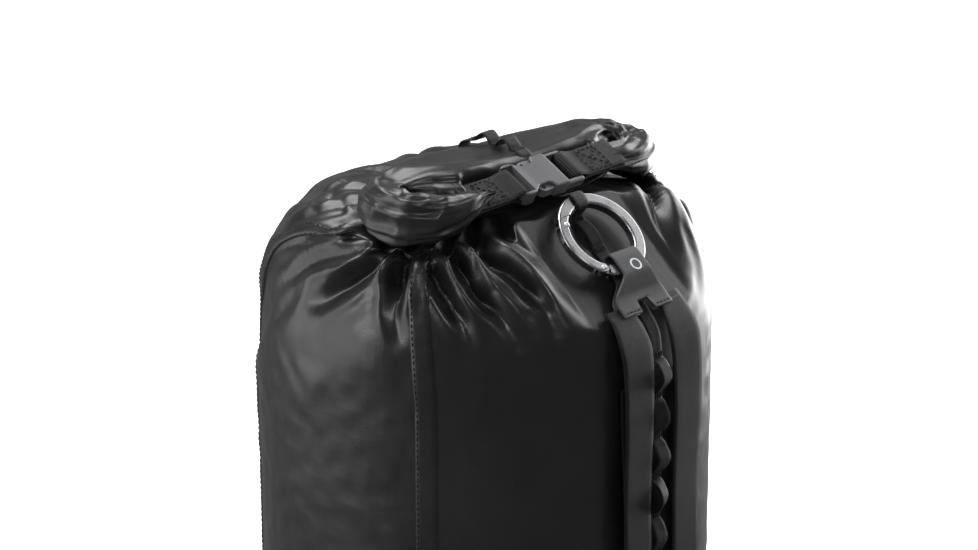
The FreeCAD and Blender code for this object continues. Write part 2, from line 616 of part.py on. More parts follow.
def chain_path():
    """Middle line of the chain's tape, with the places and directions of its tacks."""
    lift = chain_thickness / 2
    points, tacks = [V(0, -sack_radius - lift, chain_bottom - tack_length)], []
    for i in range(chain_loops):
        low = chain_bottom + chain_pitch * i
        points += [V(0, -sack_radius - v, low + u) for u, v in loop_points(chain_pitch, loop_rise)]
        tacks.append((V(0, -sack_radius, low), Z_AXIS, -Y_AXIS))
    tacks.append((V(0, -sack_radius, chain_bottom + chain_pitch * chain_loops), Z_AXIS, -Y_AXIS))

    rest = -ring_lift + lift
    inner, outer = ring_outer - ring_band, ring_outer
    over = ring_thickness / 2 + ring_gap + lift
    up, out = shoulder_point(1, 0) - shoulder_point(0, 0), shoulder_point(0, 1) - shoulder_point(0, 0)
    eye = chain_spacing * 0.9
    eye_start = inner - 3.4 - eye
    points += [V(0, -dome_radius(z) - lift - 0.1, z) for z in (shoulder_z + 13, shoulder_z + 20)]
    points += [shoulder_point(s, rest) for s in (tab_end_s + 4, tab_notch_s + 3, tab_neck_s, eye_start - 3)]
    points += [shoulder_point(eye_start + u, -ring_lift + v) for u, v in loop_points(eye, eye_loop_rise)]
    tacks += [(shoulder_point(eye_start + u, -ring_lift), up, out) for u in (0, eye)]
    points += [shoulder_point(s, v) for s, v in (
        (inner - 1.9, rest + 1.4), (inner - 1.6, -1.0), (inner - 0.6, over * 0.8), ((inner + outer) / 2, over + 0.2),
        (outer + 0.5, over * 0.85), (outer + 1.9, 0.2))]

    half = buckle_half
    seat = -closure_seat + lift
    points += [closure_point(y, seat) for y in (-half + 1, -half / 2, 0, half / 2, half + closure_room - 3.6)]
    tacks.append((closure_point(half - 6, -closure_seat), closure_point(1, 0) - closure_point(0, 0),
                  closure_point(0, 1) - closure_point(0, 0)))
    corner, off = channel_corner(), lift + wall_gap
    bend = (channel_edge + off) * sqrt(0.5)
    points += [V(0, corner.y - off, corner.z + 2.4), V(0, corner.y - off, roll_top - channel_edge),
               V(0, corner.y + channel_edge - bend, roll_top - channel_edge + bend),
               V(0, corner.y + channel_edge, roll_top + off)]
    start = corner.y + channel_edge + 1.5
    pitch = (roll_back - roll_edge - start) / 2
    for i in range(2):
        points += [V(0, start + pitch * i + u, roll_top + v) for u, v in loop_points(pitch, roll_loop_rise)]
    tacks += [(V(0, start + pitch * i, roll_top), Y_AXIS, Z_AXIS) for i in range(3)]
    points += [V(0, roll_back - 1.5, roll_top - 2.6), V(0, roll_back + lift, roll_top - roll_edge),
               V(0, roll_back + lift, sack_top + 5)]
    return points, tacks


def closure_point(y, z):
    """Point over the middle of the sack, in the buckle's axes."""
    return closure_frame.multVec(V(-closure_x, y, z))


def bar_tack(at, direction, out):
    """Block of stitching across the tape where two loops meet."""
    tack = box((-chain_width / 2 + 0.5, chain_width / 2 - 0.5), (-tack_length / 2 + 0.3, tack_length / 2 - 0.3),
               (chain_thickness - 0.05, chain_thickness + tack_height))
    turn = FreeCAD.Rotation(X_AXIS, direction, out, "XYZ")
    tack.Placement = FreeCAD.Placement(at, turn)
    return tack


def daisy_chain(collar):
    """Tape sewn down between its loops: up the front, through the ring, under the buckle and over the roll."""
    points, tacks = chain_path()
    tape = ribbon(points, chain_thickness, X_AXIS, chain_width, 4)
    return largest(tape.cut(sack_solid(0)).cut(collar)), [largest(bar_tack(*tack).cut(tape)) for tack in tacks]


def main():
    os.makedirs("parts", exist_ok=True)
    for name, panel in sack_panels().items():
        export(name, panel)
    left_end = left_end_x[1] - closure_x - webbing_hold
    right_end = right_end_x[0] - closure_x + webbing_hold
    left_webbing = on_closure(closure_webbing(-(slot_outer + bar_end) / 2, left_end))
    right_webbing = on_closure(closure_webbing((plug_slot[1] + plug_end) / 2, right_end))
    export("left_closure_webbing", left_webbing)
    export("right_closure_webbing", right_webbing)
    collar = rolled_collar((left_webbing, right_webbing))
    export("rolled_collar", collar)
    export("mouth_stiffener", stiffener_strip())
    for name, angle in seam_angles.items():
        export(name + "_seam", seam_tape(angle, collar))
    export("base_binding", base_binding())
    export("packed_load", sack_solid(fabric + load_gap))
    export("buckle_socket", on_closure(buckle_socket()))
    export("buckle_plug", on_closure(buckle_plug()))
    export("upper_prong", on_closure(buckle_prong(1)))
    export("lower_prong", on_closure(buckle_prong(-1)))
    export("carabiner_frame", on_ring(carabiner_frame()))
    export("carabiner_gate", on_ring(carabiner_gate()))
    export("gate_hinge_rivet", on_ring(rivet(pin_radius, hinge_x, hinge_y)))
    export("gate_latch_rivet", on_ring(rivet(latch_pin_radius, *latch_pin_place())))
    export("gate_spring", on_ring(gate_spring()))
    export("strap_tab", strap_tab())
    for name, side in (("left", -1), ("right", 1)):
        export(name + "_carry_strap", carry_strap(side))
        export(name + "_strap_keeper", strap_keeper(side))
    tape, tacks = daisy_chain(collar)
    export("daisy_chain", tape)
    export("chain_bar_tacks", *tacks)


main()
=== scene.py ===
"""Compression sack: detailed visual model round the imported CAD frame. Metres, +Z up, front at -Y."""

import math

import bpy
import numpy as np
from mathutils import Matrix, Quaternion, Vector, noise


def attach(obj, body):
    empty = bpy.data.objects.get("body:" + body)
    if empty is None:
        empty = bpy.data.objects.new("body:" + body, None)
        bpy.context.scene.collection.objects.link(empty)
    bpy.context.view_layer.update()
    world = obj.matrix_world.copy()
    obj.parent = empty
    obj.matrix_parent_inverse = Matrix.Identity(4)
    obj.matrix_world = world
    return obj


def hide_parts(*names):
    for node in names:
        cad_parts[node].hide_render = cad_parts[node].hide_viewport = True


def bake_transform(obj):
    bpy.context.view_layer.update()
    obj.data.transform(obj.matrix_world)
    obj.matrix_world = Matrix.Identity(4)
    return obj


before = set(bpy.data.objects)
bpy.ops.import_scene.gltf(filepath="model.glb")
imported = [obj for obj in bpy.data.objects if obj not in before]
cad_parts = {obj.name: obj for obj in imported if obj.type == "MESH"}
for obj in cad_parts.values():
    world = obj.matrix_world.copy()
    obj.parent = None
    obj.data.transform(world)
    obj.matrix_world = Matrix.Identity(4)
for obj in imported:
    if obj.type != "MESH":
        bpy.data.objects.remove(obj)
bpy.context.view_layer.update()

# ---------------------------------------------------------------- sizes, in metres
SACK_R = 0.1296
WALL_TOP = 0.322               # where the shoulder starts
BASE_EDGE = 0.018
COLUMNS = 216                  # of the fabric's first grid, round the sack
FINE_COLUMNS = 2 * COLUMNS     # once that grid is refined
WALL_ROWS, SHOULDER_ROWS = 58, 26
SEAMS = {"front_left_seam": -60.0, "back_left_seam": -134.0, "front_right_seam": 62.0,
         "back_right_seam": 134.0}
PANELS = {"front_panel": (-60.0, 62.0), "right_side_panel": (62.0, 134.0), "back_panel": (134.0, 226.0),
          "left_side_panel": (-134.0, -60.0)}
SEAM_LEAN = {"back_left_seam": 24.0, "front_left_seam": -6.0}   # of the seam's top, towards the roll's end
CLOSURE = Vector((-0.010, -0.0475, 0.416))   # middle of the buckle
CLOSURE_TILT = math.radians(27)
CLOSURE_SEAT = 0.0062
RING = Vector((0, -0.088, 0.390))
RING_TILT = math.radians(40)
RING_LIFT = 0.0069
X, Y, Z = Vector((1, 0, 0)), Vector((0, 1, 0)), Vector((0, 0, 1))

# Where the wall fabric meets the roll: angle round the sack from the front towards +X, then the point in mm.
GATHER = [(-180, -5, 17, 399), (-155, -52, 17, 405), (-130, -86, 12, 403), (-112, -100, -6, 398),
          (-95, -100, -24, 393), (-78, -90, -40, 392), (-58, -78, -48, 392), (-40, -64, -52, 394),
          (-24, -44, -54, 398), (0, -4, -54, 402), (22, 34, -53, 401), (40, 58, -50, 396),
          (57, 74, -44, 390), (76, 88, -32, 386), (96, 95, -14, 386), (116, 92, 5, 391),
          (140, 62, 15, 397), (162, 30, 17, 400), (180, -5, 17, 399)]

# Large folds of the wall fabric: depth and half width in mm, then the points along it as an angle round the
# sack and a row of the grid. A fold fades towards its last point; a negative depth makes a ridge. These places
# were not all chosen by hand: 11 of the folds were made by another program and 3 more follow it loosely.
FOLDS = [
    (6.5, 4.5, [(-86, 84), (-86, 80), (-84, 74), (-87, 69.5), (-91, 66.5), (-95, 63)]),
    (4.0, 4.0, [(-97, 84), (-95, 77), (-101, 72), (-107, 68), (-116, 63)]),
    (-2.6, 5.5, [(-91, 84), (-90, 77), (-94, 71), (-100, 67), (-105, 63)]),
    (9.0, 4.0, [(-75, 82), (-73, 77), (-71, 71.5), (-70, 69), (-69, 66), (-66, 62.5)]),
    (-3.0, 5.0, [(-79, 82), (-77, 75), (-77, 70), (-78, 66)]),
    (5.5, 3.6, [(-64, 80), (-59, 73), (-54, 68), (-51, 65.5), (-48, 62.5)]),
    (-3.2, 4.0, [(-60, 81), (-55, 74), (-50, 69), (-46, 65)]),
    (7.0, 4.0, [(-58, 83), (-52, 76), (-48, 72), (-44, 69), (-40, 66), (-36, 62)]),
    (-3.4, 4.5, [(-50, 83), (-46, 76), (-42, 72), (-38, 68), (-34, 64)]),
    (6.5, 4.4, [(-43, 84), (-39, 77), (-35, 73.5), (-32, 69.5), (-29, 66.5), (-27, 62)]),
    (-2.8, 5.5, [(-35, 83), (-32, 76), (-28, 72), (-24, 68), (-20, 64)]),
    (4.2, 5.0, [(-27, 84), (-25, 79), (-22, 75), (-19, 72), (-17, 69), (-13, 65)]),
    (6.0, 4.5, [(60, 84), (43, 80), (31, 75), (26, 72), (23, 69), (20, 65)]),
    (-3.0, 6.0, [(70, 82), (52, 78), (40, 74), (34, 70), (31, 65)]),
    (7.0, 5.0, [(85, 80), (69, 77), (53, 74), (47, 70), (43, 66), (43, 60)]),
    (5.0, 5.0, [(104, 82), (92, 77), (80, 72), (72, 66), (70, 60)]),
    (4.0, 5.0, [(130, 82), (120, 76), (112, 70), (106, 64)]),
    (2.2, 4.0, [(-166, 79), (-152, 78), (-140, 77), (-128, 76)]),
    (2.4, 3.5, [(-150, 82), (-145, 79), (-136, 77), (-124, 75)]),
    (2.6, 4.0, [(-136, 83), (-130, 80), (-126, 75), (-127, 71)]),
    (3.0, 4.0, [(-122, 84), (-113, 79), (-113, 73), (-119, 68)]),
    (2.6, 3.5, [(-108, 84), (-104, 79), (-106, 74), (-112, 69), (-120, 65)]),
    (3.5, 4.5, [(-170, 82), (-168, 76), (-160, 70), (-158, 64)]),
    (4.0, 4.5, [(172, 82), (168, 76), (164, 70), (166, 63)]),
    (3.5, 4.5, [(150, 82), (148, 76), (150, 70), (146, 64)])]

# Middle line of the roll, from the left webbing round to the right one: x, y, z, half width, half height and
# tilt of the section, in mm and degrees.
ROLL = [(-46, -47.5, 415.5, 9, 1.8, 27), (-57, -47.5, 415, 10.5, 4.5, 24), (-70, -48, 413, 12.5, 9.5, 16),
        (-84, -45.5, 411.5, 13, 13, 6), (-95, -38, 411.5, 12.5, 15, 0), (-99.5, -26, 412.5, 12, 16, 0),
        (-95, -14, 413.5, 13, 15, 0), (-84, -8, 413.5, 17, 14, 0), (-66, -11, 414, 24, 16, 0),
        (-44, -18, 413.5, 33, 16.5, 0), (0, -20, 411.5, 37, 13.5, 0), (38, -18, 411, 34, 13.5, 0),
        (60, -12, 409.5, 24, 13.5, 0), (77, -9, 407.5, 17, 14.5, 0), (88, -16, 405.5, 12, 15.5, 0),
        (90, -28, 404.5, 11.5, 15.5, 0), (83, -39, 405.5, 12, 14, 6), (71, -45, 409, 12.5, 10.5, 16),
        (57, -47.5, 413, 11, 5.5, 24), (42, -47.5, 415.5, 9.5, 1.8, 27)]


PLEAT_CAP = 0.0017             # largest simulated pleat that is kept
SAG_CAP = 0.0006               # largest overall sag that is kept


def mm(*values):
    return Vector(values) / 1000


# ---------------------------------------------------------------- curves and meshes
def spline(points, per=8):
    """Points on a smooth curve through the given ones; each may have any number of coordinates."""
    rows = np.array([list(p) for p in points], float)
    padded = np.vstack([2 * rows[0] - rows[1], rows, 2 * rows[-1] - rows[-2]])
    out = []
    for a, b, c, d in zip(padded, padded[1:], padded[2:], padded[3:]):
        for k in range(per):
            t = k / per
            out.append(0.5 * (2 * b + (c - a) * t + (2 * a - 5 * b + 4 * c - d) * t ** 2
                              + (3 * b - 3 * c + d - a) * t ** 3))
    out.append(rows[-1])
    return out


def new_object(name, verts, faces, material, uvs=None, smooth=True):
    mesh = bpy.data.meshes.new(name)
    mesh.from_pydata([tuple(v) for v in verts], [], faces)
    if uvs is not None:
        layer = mesh.uv_layers.new(name="UVMap")
        for loop in mesh.loops:
            layer.data[loop.index].uv = uvs[loop.vertex_index]
    for polygon in mesh.polygons:
        polygon.use_smooth = smooth
    mesh.materials.append(material)
    obj = bpy.data.objects.new(name, mesh)
    bpy.context.collection.objects.link(obj)
    return obj


def subdivide(obj, levels=1):
    modifier = obj.modifiers.new("smooth", "SUBSURF")
    modifier.levels = modifier.render_levels = levels
    return obj


def tape(name, points, sides, width, thickness, material, per=6, across=6, crown=0.0):
    """Flat tape along points. sides gives the across direction, one for all or one for each point; width may
    be a number or one for each point. Its UV map is in metres along and across."""
    count = len(points)
    sides = [sides] * count if isinstance(sides, Vector) else sides
    widths = [width] * count if isinstance(width, float) else width
    rows = spline([(*p, *s, w) for p, s, w in zip(points, sides, widths)], per)
    path = [Vector(r[:3]) for r in rows]
    verts, uvs, faces = [], [], []
    ring = 2 * (across + 1)
    length = 0.0
    for k, row in enumerate(rows):
        along = (path[min(k + 1, len(path) - 1)] - path[max(k - 1, 0)]).normalized()
        side = Vector(row[3:6])
        side = (side - along * side.dot(along)).normalized()
        out = side.cross(along).normalized()
        if k:
            length += (path[k] - path[k - 1]).length
        for face in (1, -1):
            for i in range(across + 1):
                u = (2 * i / across - 1) * face
                edge = 1 - 0.55 * abs(u) ** 8
                verts.append(path[k] + side * (u * row[6] / 2)
                             + out * (face * thickness / 2 * edge + crown * (1 - u * u)))
                uvs.append((length, u * row[6] / 2 + (0 if face > 0 else 1)))
    for k in range(len(rows) - 1):
        for i in range(ring):
            j = (i + 1) % ring
            faces.append((k * ring + i, k * ring + j, (k + 1) * ring + j, (k + 1) * ring + i))
    faces.append(tuple(range(ring))[::-1])
    faces.append(tuple((len(rows) - 1) * ring + i for i in range(ring)))
    return new_object(name, verts, faces, material, uvs)


def stitches(name, runs, material, length=0.0024, gap=0.0010, radius=0.00028):
    """Rows of thread stitches. Each run is a list of (point, outward direction)."""
    verts, faces = [], []
    for run in runs:
        path = [Vector(p) for p, _ in run]
        outs = [Vector(o) for _, o in run]
        travelled, due = 0.0, gap
        for a, b, out in zip(path, path[1:], outs):
            step = (b - a).length
            if step < 1e-7:
                continue
            along = (b - a) / step
            while due <= travelled + step:
                at = a + along * (due - travelled)
                side = out.cross(along).normalized()
                first = len(verts)
                for u, r in ((0, 0.0), (0.2, 1.0), (0.8, 1.0), (1, 0.0)):
                    middle = at + along * (u * length) + out * (radius * 0.35)
                    ring = 1 if r == 0 else 6
                    for q in range(ring):
                        turn = 2 * math.pi * q / 6
                        verts.append(middle + (side * math.cos(turn) + out * math.sin(turn)) * (radius * r))
                for q in range(6):
                    n = (q + 1) % 6
                    faces.append((first, first + 1 + n, first + 1 + q))
                    faces.append((first + 1 + q, first + 1 + n, first + 7 + n, first + 7 + q))
                    faces.append((first + 7 + q, first + 7 + n, first + 13))
                due += length + gap
            travelled += step
    return new_object(name, verts, faces, material)


# ---------------------------------------------------------------- materials
def material(name, color, roughness, **sockets):
    made = bpy.data.materials.new(name)
    made.use_nodes = True
    shader = made.node_tree.nodes["Principled BSDF"]
    shader.inputs["Base Color"].default_value = (*color, 1)
    shader.inputs["Roughness"].default_value = roughness
    for key, value in sockets.items():
        shader.inputs[key.replace("_", " ")].default_value = value
    return made, made.node_tree, shader


# What a node has as a setting and not as a socket.
NODE_SETTINGS = ("operation", "wave_type", "bands_direction", "wave_profile", "blend_type", "data_type",
                 "invert")


def add(tree, kind, **values):
    node = tree.nodes.new(kind)
    for key, value in values.items():
        if key in NODE_SETTINGS:
            setattr(node, key, value)
        else:
            node.inputs[key.replace("_", " ")].default_value = value
    return node


def ramp(tree, source, low, high, color_low, color_high):
    node = tree.nodes.new("ShaderNodeValToRGB")
    node.color_ramp.elements[0].position = low
    node.color_ramp.elements[1].position = high
    node.color_ramp.elements[0].color = (*color_low, 1)
    node.color_ramp.elements[1].color = (*color_high, 1)
    tree.links.new(source, node.inputs["Fac"])
    return node.outputs["Color"]


def combine(tree, first, second, operation="ADD"):
    node = add(tree, "ShaderNodeMath", operation=operation)
    for socket, value in zip(node.inputs, (first, second)):
        if isinstance(value, (int, float)):
            socket.default_value = value
        else:
            tree.links.new(value, socket)
    return node.outputs[0]


def bump(tree, shader, height, strength, distance):
    node = add(tree, "ShaderNodeBump", Strength=strength, Distance=distance)
    tree.links.new(height, node.inputs["Height"])
    tree.links.new(node.outputs["Normal"], shader.inputs["Normal"])
    return node


def bands(tree, vector, direction, pitch, profile="SIN"):
    """Wave texture with one ridge for each pitch, in the vector's units."""
    node = add(tree, "ShaderNodeTexWave", wave_type="BANDS", bands_direction=direction, wave_profile=profile)
    node.inputs["Scale"].default_value = math.pi / 10 / pitch
    tree.links.new(vector, node.inputs["Vector"])
    return node.outputs["Fac"]


def ripstop():
    """Thin coated nylon: a fine weave, a ripstop grid, crumple and a wet-looking sheen."""
    made, tree, shader = material("ripstop_nylon", (0.006, 0.006, 0.0064), 0.34, Specular_IOR_Level=0.42,
                                  Coat_Weight=0.08, Coat_Roughness=0.22, Sheen_Weight=0.01)
    uv = tree.nodes.new("ShaderNodeUVMap").outputs["UV"]
    grid = combine(tree, bands(tree, uv, "X", 0.0052), bands(tree, uv, "Y", 0.0052), "MAXIMUM")
    lines = combine(tree, grid, 14.0, "POWER")
    weave = combine(tree, bands(tree, uv, "X", 0.0007), bands(tree, uv, "Y", 0.0007), "MULTIPLY")
    place = tree.nodes.new("ShaderNodeTexCoord").outputs["Object"]
    crumple = add(tree, "ShaderNodeTexNoise", Scale=42.0, Detail=4.0, Roughness=0.5, Distortion=0.6)
    tree.links.new(place, crumple.inputs["Vector"])
    cloud = add(tree, "ShaderNodeTexNoise", Scale=14.0, Detail=3.0)
    tree.links.new(place, cloud.inputs["Vector"])
    fine = combine(tree, combine(tree, lines, 0.05, "MULTIPLY"), combine(tree, weave, 0.04, "MULTIPLY"))
    height = combine(tree, fine, combine(tree, crumple.outputs["Fac"], 0.9, "MULTIPLY"))
    bump(tree, shader, height, 0.45, 0.0007)
    tint = ramp(tree, cloud.outputs["Fac"], 0.35, 0.7, (0.0045, 0.0045, 0.0049), (0.0080, 0.0080, 0.0085))
    tree.links.new(tint, shader.inputs["Base Color"])
    rough = ramp(tree, crumple.outputs["Fac"], 0.3, 0.75, (0.30, 0.30, 0.30), (0.42, 0.42, 0.42))
    tree.links.new(rough, shader.inputs["Roughness"])
    return made


def woven(name, color, pitch, roughness, rib=1.0, fleck_and_groove_shade=0.35):
    """Tape with ribs across it, a finer thread along it, painted shade between the ribs and slightly faded
    specks.
    """
    made, tree, shader = material(name, color, roughness, Sheen_Weight=0.01, Sheen_Roughness=0.45,
                                  Specular_IOR_Level=0.22)
    uv = tree.nodes.new("ShaderNodeUVMap").outputs["UV"]
    ribs = bands(tree, uv, "X", pitch)
    threads = bands(tree, uv, "Y", pitch * 0.6)
    place = tree.nodes.new("ShaderNodeTexCoord").outputs["Object"]
    speck = add(tree, "ShaderNodeTexNoise", Scale=900.0, Detail=4.0)
    tree.links.new(place, speck.inputs["Vector"])
    height = combine(tree, combine(tree, ribs, rib, "MULTIPLY"), combine(tree, threads, 0.4, "MULTIPLY"))
    height = combine(tree, height, combine(tree, speck.outputs["Fac"], 0.5, "MULTIPLY"))
    bump(tree, shader, height, 0.7, 0.00025)
    # Painted shade: the colour follows the ribs, darker in their grooves and lighter on their crests, with
    # random specks.
    dark, light = [c * (1 - fleck_and_groove_shade) for c in color], [c * (1 + fleck_and_groove_shade) for c in color]
    shade = ramp(tree, combine(tree, ribs, speck.outputs["Fac"], "MULTIPLY"), 0.1, 0.6, dark, light)
    tree.links.new(shade, shader.inputs["Base Color"])
    return made


def moulded(name, color, roughness, grain=2600.0, wear=0.3, **sockets):
    """Moulded plastic or coated leather: fine grain, mottled gloss and paler edges."""
    made, tree, shader = material(name, color, roughness, **sockets)
    place = tree.nodes.new("ShaderNodeTexCoord").outputs["Object"]
    pebble = add(tree, "ShaderNodeTexNoise", Scale=grain, Detail=3.0)
    patch = add(tree, "ShaderNodeTexNoise", Scale=180.0, Detail=4.0)
    for node in (pebble, patch):
        tree.links.new(place, node.inputs["Vector"])
    bump(tree, shader, pebble.outputs["Fac"], 0.25, 0.00008)
    rough = ramp(tree, patch.outputs["Fac"], 0.3, 0.7, [roughness * 0.88] * 3, [roughness * 1.12] * 3)
    tree.links.new(rough, shader.inputs["Roughness"])
    edge = tree.nodes.new("ShaderNodeNewGeometry").outputs["Pointiness"]
    worn = [min(1, c * (1 + 2.2 * wear) + 0.02 * wear) for c in color]
    tree.links.new(ramp(tree, edge, 0.49, 0.56, color, worn), shader.inputs["Base Color"])
    return made


def brushed(name, color, roughness, scale=1400.0):
    """Satin metal with fine scratches and soft smudges."""
    made, tree, shader = material(name, color, roughness, Metallic=1.0)
    place = tree.nodes.new("ShaderNodeTexCoord").outputs["Object"]
    scratch = add(tree, "ShaderNodeTexNoise", Scale=scale, Detail=2.0)
    smudge = add(tree, "ShaderNodeTexNoise", Scale=120.0, Detail=3.0)
    for node in (scratch, smudge):
        tree.links.new(place, node.inputs["Vector"])
    bump(tree, shader, scratch.outputs["Fac"], 0.02, 0.00001)
    rough = ramp(tree, smudge.outputs["Fac"], 0.3, 0.7, [roughness * 0.85] * 3, [roughness * 1.2] * 3)
    tree.links.new(rough, shader.inputs["Roughness"])
    return made


NYLON = ripstop()
SEAM = woven("seam_fabric", (0.014, 0.014, 0.0148), 0.0008, 0.42, rib=0.4)
WEBBING = woven("ribbed_webbing", (0.011, 0.011, 0.0118), 0.00125, 0.62, rib=1.6)
RIBBON = woven("flat_ribbon", (0.0035, 0.0035, 0.0037), 0.0006, 0.46, rib=0.5, fleck_and_groove_shade=0.2)
CHAIN = woven("chain_tape", (0.005, 0.005, 0.0053), 0.0007, 0.50, rib=0.8, fleck_and_groove_shade=0.3)
THREAD = woven("black_thread", (0.009, 0.009, 0.0095), 0.0004, 0.55)
BUCKLE = moulded("buckle_plastic", (0.060, 0.061, 0.064), 0.36, Specular_IOR_Level=0.5)
TAB = moulded("coated_leather", (0.022, 0.023, 0.025), 0.5, grain=1500.0, wear=0.5)
RING_METAL = brushed("satin_ring", (0.30, 0.30, 0.31), 0.27)
STEEL = brushed("pin_steel", (0.60, 0.60, 0.61), 0.30)
MARK = moulded("pale_print", (0.55, 0.55, 0.56), 0.5, wear=0.0)
HIDDEN = woven("hidden_filling", (0.2, 0.2, 0.21), 0.003, 0.8)


def repaint(nodes, made):
    for node in nodes:
        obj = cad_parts[node]
        if not obj.material_slots:
            obj.data.materials.append(made)
        for place in obj.material_slots:
            place.link = "OBJECT"
            place.material = made


repaint(("buckle_socket", "buckle_plug", "upper_prong", "lower_prong"), BUCKLE)
repaint(("carabiner_frame", "carabiner_gate"), RING_METAL)
repaint(("gate_hinge_rivet", "gate_latch_rivet", "gate_spring"), STEEL)
repaint(("packed_load", "mouth_stiffener"), HIDDEN)


# ---------------------------------------------------------------- the wall fabric
def around(angle, radius=SACK_R):
    a = math.radians(angle)
    return Vector((radius * math.sin(a), -radius * math.cos(a), 0))


def gather_point(angle):
    for a, b in zip(GATHER, GATHER[1:]):
        if a[0] <= angle <= b[0]:
            return mm(*a[1:]).lerp(mm(*b[1:]), (angle - a[0]) / (b[0] - a[0]))


def shoulder(angle):
    """Curve from the wall's top to the roll at an angle."""
    foot, top = around(angle) + Z * WALL_TOP, gather_point(angle)
    low = foot + Z * (0.62 * (top.z - foot.z) + 0.010)
    high = top.lerp(Vector((foot.x, foot.y, top.z + 0.012)), 0.55)
    points = []
    for k in range(SHOULDER_ROWS + 1):
        t = k / SHOULDER_ROWS
        points.append(foot * (1 - t) ** 3 + low * (3 * t * (1 - t) ** 2)
                      + high * (3 * t * t * (1 - t)) + top * t ** 3)
    return points


def wall_grid():
    """The stuffed shape and the flat tube that it was sewn as, as two grids of columns of points."""
    stuffed, sewn = [], []
    for i in range(COLUMNS):
        angle = -180 + 360 * i / COLUMNS
        up = [around(angle) + Z * (BASE_EDGE + (WALL_TOP - BASE_EDGE) * j / WALL_ROWS)
              for j in range(WALL_ROWS)]
        over = shoulder(angle)
        spare = 1.06 + 0.09 * max(0, math.cos(math.radians(angle + 75)))
        length, flat = 0.0, list(up)
        for a, b in zip([over[0]] + over, over):
            length += (b - a).length
            flat.append(around(angle) + Z * (WALL_TOP + length * spare))
        column = up + over
        for k, p in enumerate(column):
            lump = noise.noise(p * 28) * 0.0012 + noise.noise(p * 90) * 0.0006
            column[k] = p + around(angle, 1) * (lump * min(1, max(0, (p.z - 0.03) / 0.1)))
        stuffed.append(column)
        sewn.append(flat)
    return stuffed, sewn


def simulate(obj, target, pins, frames, arrive, settings):
    """Runs cloth while the pinned points move to target, then keeps the result and no modifier."""
    obj.shape_key_add(name="Basis")
    key = obj.shape_key_add(name="target")
    for point, co in zip(key.data, target):
        point.co = co
    for value, at in ((0, 1), (1, arrive)):
        key.value = value
        key.keyframe_insert("value", frame=at)
    group = obj.vertex_groups.new(name="pins")
    for index in pins:
        group.add([index], 1.0, "REPLACE")
    cloth = obj.modifiers.new("cloth", "CLOTH")
    cloth.settings.vertex_group_mass = "pins"
    cloth.settings.effector_weights.gravity = 0
    cloth.settings.use_pressure = True
    cloth.collision_settings.use_self_collision = False
    for name, value in settings.items():
        setattr(cloth.settings, name, value)
    cloth.point_cache.frame_start, cloth.point_cache.frame_end = 1, frames
    scene = bpy.context.scene
    scene.frame_end = frames
    for at in range(1, frames + 1):
        scene.frame_set(at)
    mesh = bpy.data.meshes.new_from_object(obj.evaluated_get(bpy.context.evaluated_depsgraph_get()))
    result = [v.co.copy() for v in mesh.vertices]
    bpy.data.objects.remove(obj)
    scene.frame_set(1)
    return result


def wall_fabric():
    """Grid of the fabric's points, column by column, with the pleats that the gathered top makes."""
    stuffed, sewn = wall_grid()
    rows = len(stuffed[0])
    flat = [p for column in sewn for p in column]
    faces = [(i * rows + j, (i + 1) % COLUMNS * rows + j, (i + 1) % COLUMNS * rows + j + 1, i * rows + j + 1)
             for i in range(COLUMNS) for j in range(rows - 1)]
    cloth = new_object("cloth_wall", flat, faces, NYLON)
    pins = [i * rows + j for i in range(COLUMNS) for j in (0, 1, 2, rows - 1)]
    settings = dict(quality=5, mass=0.15, tension_stiffness=22, compression_stiffness=22, shear_stiffness=10,
                    bending_stiffness=0.12, air_damping=2, uniform_pressure_force=20)
    points = simulate(cloth, [p for column in stuffed for p in column], pins, 36, 22, settings)
    return [points[i * rows:(i + 1) * rows] for i in range(COLUMNS)]


def tuck(p):
    """Keeps a fabric point under the hardware on the front: behind the wall line and the front shoulder."""
    side = min(1, max(0, (0.062 - abs(p.x)) / 0.022))
    if p.y > -0.045 or side <= 0:
        return p
    normal = Vector((0, -math.sin(RING_TILT), math.cos(RING_TILT)))
    over = (p - RING).dot(normal) + RING_LIFT + 0.0006
    if over > 0:
        p = p - normal * (over * side)
    reach = Vector((p.x, p.y, 0)).length - (SACK_R - 0.0004)
    if reach > 0 and p.z < 0.35:
        p = p - Vector((p.x, p.y, 0)).normalized() * (reach * side)
    return p


def blurred(field, passes):
    """Smooths a field over the grid: round the columns, and up to the edges along the rows."""
    for _ in range(passes):
        field = (np.roll(field, 1, 0) + 2 * field + np.roll(field, -1, 0)) / 4
        wide = np.concatenate([field[:, :1], field, field[:, -1:]], axis=1)
        field = (wide[:, :-2] + 2 * wide[:, 1:-1] + wide[:, 2:]) / 4
    return field


def refined(grid):
    """Grid with a point added between every two, on a smooth curve through them."""
    following = np.roll(grid, -1, 0)
    middle = (9 * (grid + following) - np.roll(grid, 1, 0) - np.roll(grid, -2, 0)) / 16
    grid = np.stack([grid, middle], axis=1).reshape(-1, *grid.shape[1:])
    wide = np.concatenate([2 * grid[:, :1] - grid[:, 1:2], grid, 2 * grid[:, -1:] - grid[:, -2:-1]], axis=1)
    middle = (9 * (wide[:, 1:-2] + wide[:, 2:-1]) - wide[:, :-3] - wide[:, 3:]) / 16
    out = np.empty((grid.shape[0], 2 * grid.shape[1] - 1, 3))
    out[:, ::2], out[:, 1::2] = grid, middle
    return out


def grid_normals(grid):
    across = np.roll(grid, -1, 0) - np.roll(grid, 1, 0)
    normals = np.cross(across, np.gradient(grid, axis=1))
    return normals / np.linalg.norm(normals, axis=2, keepdims=True)


def grid_point(grid, angle, row):
    """Point at an angle and a row of the first grid, on a grid refined once."""
    column = int(round((angle + 180) / 360 * FINE_COLUMNS)) % FINE_COLUMNS
    return grid[column, min(int(round(2 * row)), grid.shape[1] - 1)]


